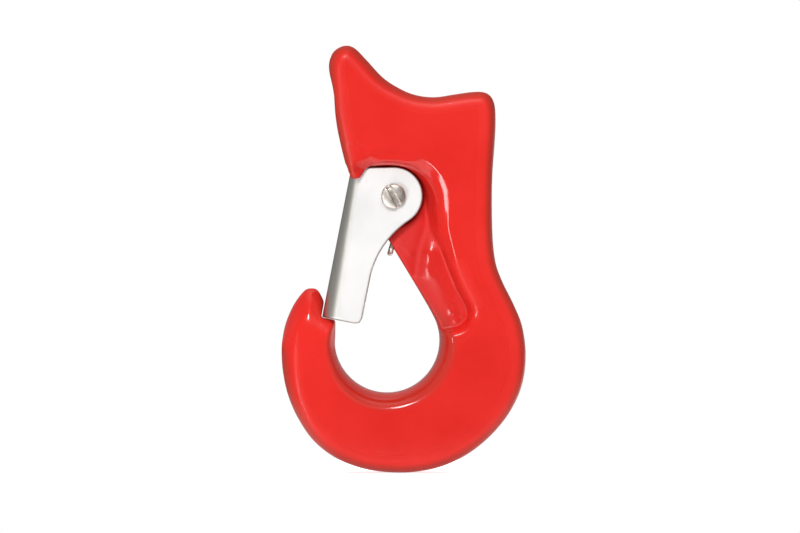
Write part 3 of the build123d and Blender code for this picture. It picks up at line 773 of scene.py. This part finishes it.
def tube(name, path, radii, side, sides=16):
    """A round wire. At each place of the path a circle stands square to the path's direction t,
    spanned by the given side vector and its cross product with t. Each end is closed by strips
    of four-sided faces across the last circle."""
    t = np.gradient(path, axis=0)
    t = t / np.linalg.norm(t, axis=1)[:, None]
    up = np.cross(side, t)
    up = up / np.linalg.norm(up, axis=1)[:, None]
    phi = np.linspace(0, 2 * pi, sides, endpoint=False)[None, :, None]
    round_path = np.cos(phi) * side[:, None] + np.sin(phi) * up[:, None]
    rings = path[:, None] + radii[:, None, None] * round_path
    count = len(path)
    i, j = np.meshgrid(np.arange(count - 1), np.arange(sides), indexing="ij")
    k = (j + 1) % sides
    skin = np.stack([i * sides + j, (i + 1) * sides + j, (i + 1) * sides + k, i * sides + k], axis=-1)
    n = np.arange(sides // 2 - 1)
    strip = np.stack([n, n + 1, sides - 2 - n, sides - 1 - n], axis=1)
    caps = [strip, strip[:, ::-1] + (count - 1) * sides]
    return piece_from_arrays(name, rings.reshape(-1, 3), np.vstack([skin.reshape(-1, 4), *caps]))


def beside(path):
    """For each place of a path, the unit vector in the flat plane of the hook, square to it."""
    heading = np.gradient(path, axis=0)
    across = np.stack([-heading[:, 2], 0 * heading[:, 0], heading[:, 0]], axis=1)
    return across / np.maximum(np.linalg.norm(across, axis=1), 1e-9)[:, None]


def wire_radii(path):
    """The wire's radius along a path, a little less at its two cut ends."""
    return np.where((np.arange(len(path)) % (len(path) - 1)) == 0, WIRE * 0.8, WIRE)


heading = np.gradient(path, axis=0)
on_bridge = np.hypot(heading[:, 0], heading[:, 2]) < 0.05
middle = len(half_path) - 1
side = beside(path) * np.where(np.arange(len(path)) < middle, -1, 1)[:, None]
side[on_bridge] = (-leg_way[1], 0, leg_way[0])
spring = tube("latch_wire", path, wire_radii(path), side)
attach(spring, "hook")
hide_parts("latch_spring")

# %% The legs that follow the latch
INSIDE_COIL = 0.99
legs = []
for name, hand in (("near_leg", -1), ("far_leg", 1)):
    path = leg_path * (1, hand, 1)
    leg = tube(name, path, wire_radii(path) * INSIDE_COIL, beside(path))
    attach(leg, "latch")
    legs.append(leg)


# %% [markdown]
# ## Writing materials as sums
#
# A material is a graph of nodes. Wiring dozens of Math nodes by hand hides what they work out,
# so one small class wraps a node's output. Adding or multiplying two wrapped outputs adds the
# Math node that does it, and a pattern then reads like the formula it is.

# %% A socket that can be added and multiplied
class Signal:
    """One output of a node. Arithmetic on it adds Math nodes to the same tree."""

    def __init__(self, tree, socket):
        self.tree = tree
        self.socket = socket

    def math(self, operation, *others):
        settings = {"operation": operation}
        return make_node(self.tree, "ShaderNodeMath", settings, dict(enumerate((self, *others))))

    def __add__(self, other):
        return self.math("ADD", other)

    def __mul__(self, other):
        return self.math("MULTIPLY", other)

    def __rsub__(self, other):
        return make_node(self.tree, "ShaderNodeMath", {"operation": "SUBTRACT"}, {0: other, 1: self})

    __radd__ = __add__
    __rmul__ = __mul__

    def between(self, low, high):
        """0 at low and 1 at high, with a soft start and end."""
        settings = {"interpolation_type": "SMOOTHSTEP"}
        inputs = {"Value": self, "From Min": low, "From Max": high}
        return make_node(self.tree, "ShaderNodeMapRange", settings, inputs, "Result")


def make_node(tree, kind, settings=None, inputs=None, output=0):
    """Adds a node, sets it, fills its sockets with values or Signals, and returns an output."""
    node = tree.nodes.new(kind)
    for name, value in (settings or {}).items():
        setattr(node, name, value)
    for name, value in (inputs or {}).items():
        if isinstance(value, Signal):
            tree.links.new(value.socket, node.inputs[name])
        else:
            node.inputs[name].default_value = value
    return Signal(tree, node.outputs[output])


def mix(share, first, second):
    """The first colour where share is 0, the second where it is 1. Colours are linear."""
    tree = share.tree
    inputs = {"Factor": share, 6: first, 7: second}
    return make_node(tree, "ShaderNodeMix", {"data_type": "RGBA"}, inputs, 2)


def noise(place, scale, detail, roughness=0.5):
    """Cloudy noise from 0 to 1. The scale is in features per metre."""
    inputs = {"Vector": place, "Scale": scale, "Detail": detail, "Roughness": roughness}
    return make_node(place.tree, "ShaderNodeTexNoise", {}, inputs)


def bumps(height, distance, strength):
    """A bumped surface direction. The distance is how many metres a height of 1 stands out."""
    inputs = {"Height": height, "Distance": distance, "Strength": strength}
    return make_node(height.tree, "ShaderNodeBump", {}, inputs)


def new_material(name, base=(0.8, 0.8, 0.8), **fixed):
    """A material with one Principled shader. Returns it, its object coordinates and a function
    that links Signals to the shader's sockets."""
    material = bpy.data.materials.new(name)
    material.use_nodes = True
    material.diffuse_color = (*base, 1)
    tree = material.node_tree
    shader = next(n for n in tree.nodes if n.type == "BSDF_PRINCIPLED")
    shader.inputs["Base Color"].default_value = (*base, 1)
    for socket, value in fixed.items():
        shader.inputs[socket.replace("_", " ")].default_value = value
    place = make_node(tree, "ShaderNodeTexCoord", output="Object")

    def link(**signals):
        for socket, signal in signals.items():
            tree.links.new(signal.socket, shader.inputs[socket.replace("_", " ")])

    return material, place, link


def marked(place, name):
    """The number kept at the surface under a name."""
    return make_node(place.tree, "ShaderNodeAttribute", {"attribute_name": name}, output="Fac")


def height_of(place):
    """The z of a place or a direction."""
    return make_node(place.tree, "ShaderNodeSeparateXYZ", {}, {0: place}, "Z")


# %% [markdown]
# ## Red enamel
#
# The enamel is thick and wet-looking. Its gloss comes from a clear coat over a slightly duller
# red. Thick paint never lies quite flat: it keeps a fine orange peel, and longer waves from the
# forged surface below. A painted shade makes the rims and the bowl's crowned inner edge browner
# and the recess darker. Towards the rims and in the valleys the coat thins out and the red turns
# matt.

# %% Red enamel
enamel, place, link = new_material(
    "red_enamel", (0.80, 0.018, 0.014), Coat_Roughness=0.04, Coat_IOR=1.5, IOR=1.45
)
clouds = noise(place, 60, 3)
peel = noise(place, 900, 2)
waves = noise(place, 160, 2)
rim, hollow, dull, crown_shade = (marked(place, name) for name in ("rim", "hollow", "dull", "crown_shade"))
tone = mix(clouds.between(0.3, 0.7), (0.78, 0.015, 0.009, 1), (0.83, 0.020, 0.013, 1))
# Painted shade: the rims are painted darker and browner.
tone = mix(rim.between(0.6, 1.0) * 0.85, tone, (0.45, 0.040, 0.022, 1))
# Painted shade: the bowl's crowned inner edge is painted browner.
tone = mix(crown_shade * 0.7, tone, (0.55, 0.036, 0.022, 1))
# Painted shade: the recess and the space under the chin are painted darker.
tone = mix(hollow * 0.4, tone, (0.50, 0.016, 0.016, 1))
matt = rim.between(0.0, 1.0).math("MAXIMUM", dull)
link(
    Base_Color=tone,
    Roughness=clouds * 0.06 + matt * 0.38 + 0.13,
    Coat_Weight=(1 - matt) * 0.3,
    Normal=bumps(waves + peel * 0.12, 0.00012, 0.5),
)
hook_body.data.materials.append(enamel)

# %% [markdown]
# ## Plated steel
#
# The latch is zinc-plated sheet. Its shine is satin, with fine grains of zinc. Where the sheet
# rolls over into the spine it is more like a mirror, and a painted shade makes it greyer. Along
# the blank's cut edge it is painted dark brown. The screw, the nut and the spring are barer
# metal, scuffed and stained.

# %% Plated sheet
plated, place, link = new_material("plated_sheet", (0.95, 0.95, 0.94), IOR=1.5)
grain = noise(place, 1400, 3)
patches = noise(place, 90, 3)
roll, sheared = marked(place, "roll"), marked(place, "sheared")
zinc = mix(patches.between(0.3, 0.7), (0.90, 0.90, 0.885, 1), (0.96, 0.96, 0.95, 1))
# Painted shade: the rolled spine is painted greyer, and it is made more metallic.
folded = roll.between(0.0, 0.5)
zinc = mix(folded, zinc, (0.56, 0.545, 0.50, 1))
# Along the blank's cut edge the sheet is painted dark brown, a thin dark outline.
link(
    Base_Color=mix(sheared * 0.8, zinc, (0.16, 0.13, 0.09, 1)),
    Metallic=folded * 0.65 + 0.3,
    Roughness=patches * 0.1 + 0.36,
    Normal=bumps(grain, 0.00003, 0.4),
)
latch.data.materials.append(plated)

# %% Worn screw, nut and spring wire
worn, place, link = new_material("plated_screw", (0.62, 0.56, 0.51), Metallic=1.0)
scuffs = noise(place, 1800, 4, 0.65)
stains = noise(place, 500, 3)
link(
    Base_Color=mix(stains.between(0.35, 0.65), (0.50, 0.44, 0.39, 1), (0.74, 0.69, 0.64, 1)),
    Roughness=scuffs * 0.25 + 0.28,
    Normal=bumps(scuffs, 0.00009, 0.6),
)
for piece in (screw, lock_nut):
    piece.data.materials.append(worn)

wire, place, link = new_material("spring_wire", (0.55, 0.53, 0.50), Metallic=1.0)
drawn = noise(place, 1500, 3)
link(
    Base_Color=mix(drawn.between(0.3, 0.7), (0.42, 0.40, 0.37, 1), (0.62, 0.60, 0.57, 1)),
    Roughness=drawn * 0.15 + 0.27,
    Normal=bumps(drawn, 0.00002, 0.4),
)
for piece in (spring, *legs):
    piece.data.materials.append(wire)


# %% [markdown]
# ## Floor, background and light
#
# The hook stands on a plain white floor. The background is white to the camera and a soft grey
# in mirrors, lighter straight above, so that the glossy paint mirrors a dim studio and keeps its
# colour. In front and behind, a small key lamp and a tall window lamp stand off to one side:
# flat faces mirror neither, and rounded edges catch one. The key behind, the large fill lamps
# and the two side lamps only light the hook and aren't mirrored in it.

# %% The floor
FLOOR_RADIUS = 110.0
FLOOR_SIDES = 64
floor_z = cad_low[2] / MM - 0.02
turns = np.linspace(0, 2 * pi, FLOOR_SIDES, endpoint=False)
rings = np.array([0.0, 0.02, 0.3, 1.0])[:, None] * FLOOR_RADIUS
disc = np.stack([rings * np.cos(turns), rings * np.sin(turns), 0 * rings * turns + floor_z], axis=-1)
i, j = np.meshgrid(np.arange(len(rings) - 1), np.arange(FLOOR_SIDES), indexing="ij")
k = (j + 1) % FLOOR_SIDES
inner, outer_ring = i * FLOOR_SIDES, (i + 1) * FLOOR_SIDES
quads = np.stack([inner + j, outer_ring + j, outer_ring + k, inner + k], axis=-1)
floor = piece_from_arrays("pale_floor", disc.reshape(-1, 3), quads.reshape(-1, 4))
floor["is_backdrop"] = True


def seen_directly(tree):
    """1 for rays from the camera and for mirrored or refracted ones, 0 for the rest."""
    ways = ("Is Camera Ray", "Is Glossy Ray", "Is Transmission Ray")
    camera, mirrored, through = (make_node(tree, "ShaderNodeLightPath", output=way) for way in ways)
    return camera.math("MAXIMUM", mirrored).math("MAXIMUM", through)


def finish_shader(tree, shader, kind):
    """Links a shader to a new output node of a material or a world."""
    tree.links.new(shader.socket, tree.nodes.new(kind).inputs["Surface"])


PAPER_WHITE = (0.9, 0.9, 0.9, 1)
PAPER_GLOW = 0.72

paper = bpy.data.materials.new("white_paper")
paper.use_nodes = True
tree = paper.node_tree
tree.nodes.clear()
plain = make_node(tree, "ShaderNodeBsdfDiffuse", {}, {"Color": PAPER_WHITE})
glow = make_node(tree, "ShaderNodeEmission", {}, {"Strength": seen_directly(tree) * PAPER_GLOW})
paper_shader = make_node(tree, "ShaderNodeAddShader", {}, {0: plain, 1: glow})
finish_shader(tree, paper_shader, "ShaderNodeOutputMaterial")
floor.data.materials.append(paper)


# %% World and lamps
AMBIENT = 0.12
STUDIO_GREY = 0.3
HOOK_MIDDLE = Vector((0, 0, -0.04))

world = bpy.data.worlds.new("studio")
bpy.context.scene.world = world
world.use_nodes = True
tree = world.node_tree
tree.nodes.clear()
upward = height_of(make_node(tree, "ShaderNodeTexCoord", output="Generated")).between(0.8, 1.0)
camera_ray = make_node(tree, "ShaderNodeLightPath", output="Is Camera Ray")
shown = (upward * (1 - STUDIO_GREY) + STUDIO_GREY).math("MAXIMUM", camera_ray)
direct = seen_directly(tree)
strength = direct * shown + (1 - direct) * AMBIENT
sky = make_node(tree, "ShaderNodeBackground", {}, {"Color": (1, 1, 1, 1), "Strength": strength})
finish_shader(tree, sky, "ShaderNodeOutputWorld")


def soft_lamp(name, place, size, power, spin=0.0):
    """An oval lamp with its place in millimetres, its size in metres and its power in watts. It
    faces the hook's middle, and spin turns it about that line, in degrees."""
    lamp = bpy.data.lights.new(name, "AREA")
    lamp.shape = "ELLIPSE"
    lamp.size, lamp.size_y = size
    lamp.energy = power
    holder = bpy.data.objects.new(name, lamp)
    holder.location = np.array(place) * MM
    direction = HOOK_MIDDLE - holder.location
    aim = direction.to_track_quat("-Z", "Y") @ Quaternion((0, 0, 1), radians(spin))
    holder.rotation_euler = aim.to_euler()
    bpy.context.scene.collection.objects.link(holder)
    return holder


for name, side in (("front", 1), ("back", -1)):
    key = soft_lamp(f"{name}_key", (-230 * side, -1200 * side, 780), (0.3, 0.3), 7.6)
    soft_lamp(f"{name}_window", (-640 * side, -950 * side, -420), (0.2, 1.0), 6.0, spin=30)
    fill = soft_lamp(f"{name}_fill", (250 * side, -1300 * side, 900), (1.0, 1.0), 10.5)
    fill.visible_glossy = False
    key.visible_glossy = side > 0
for name, side in (("left_lamp", -1), ("right_lamp", 1)):
    soft_lamp(name, (1500 * side, 0, 500), (0.8, 0.8), 3.0).visible_glossy = False


# %% The camera
CAMERA_FAR = 1.7
CAMERA_SIDE, CAMERA_HEIGHT = -0.0012, -0.03915
VIEW_WIDTH = 0.240
SENSOR = 36
camera = bpy.data.cameras.new("camera")
camera.sensor_width = SENSOR
camera.lens = SENSOR * CAMERA_FAR / VIEW_WIDTH
camera.clip_start, camera.clip_end = 0.05, 20
holder = bpy.data.objects.new("camera", camera)
holder.location = (CAMERA_SIDE, -CAMERA_FAR, CAMERA_HEIGHT)
holder.rotation_euler = (pi / 2, 0, 0)
bpy.context.scene.collection.objects.link(holder)
bpy.context.scene.camera = holder
bpy.context.scene.view_settings.view_transform = "Standard"

# %% Sizes and the end
low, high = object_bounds()
print("visual box in mm:", [round(v / MM, 1) for v in (*low, *high)])
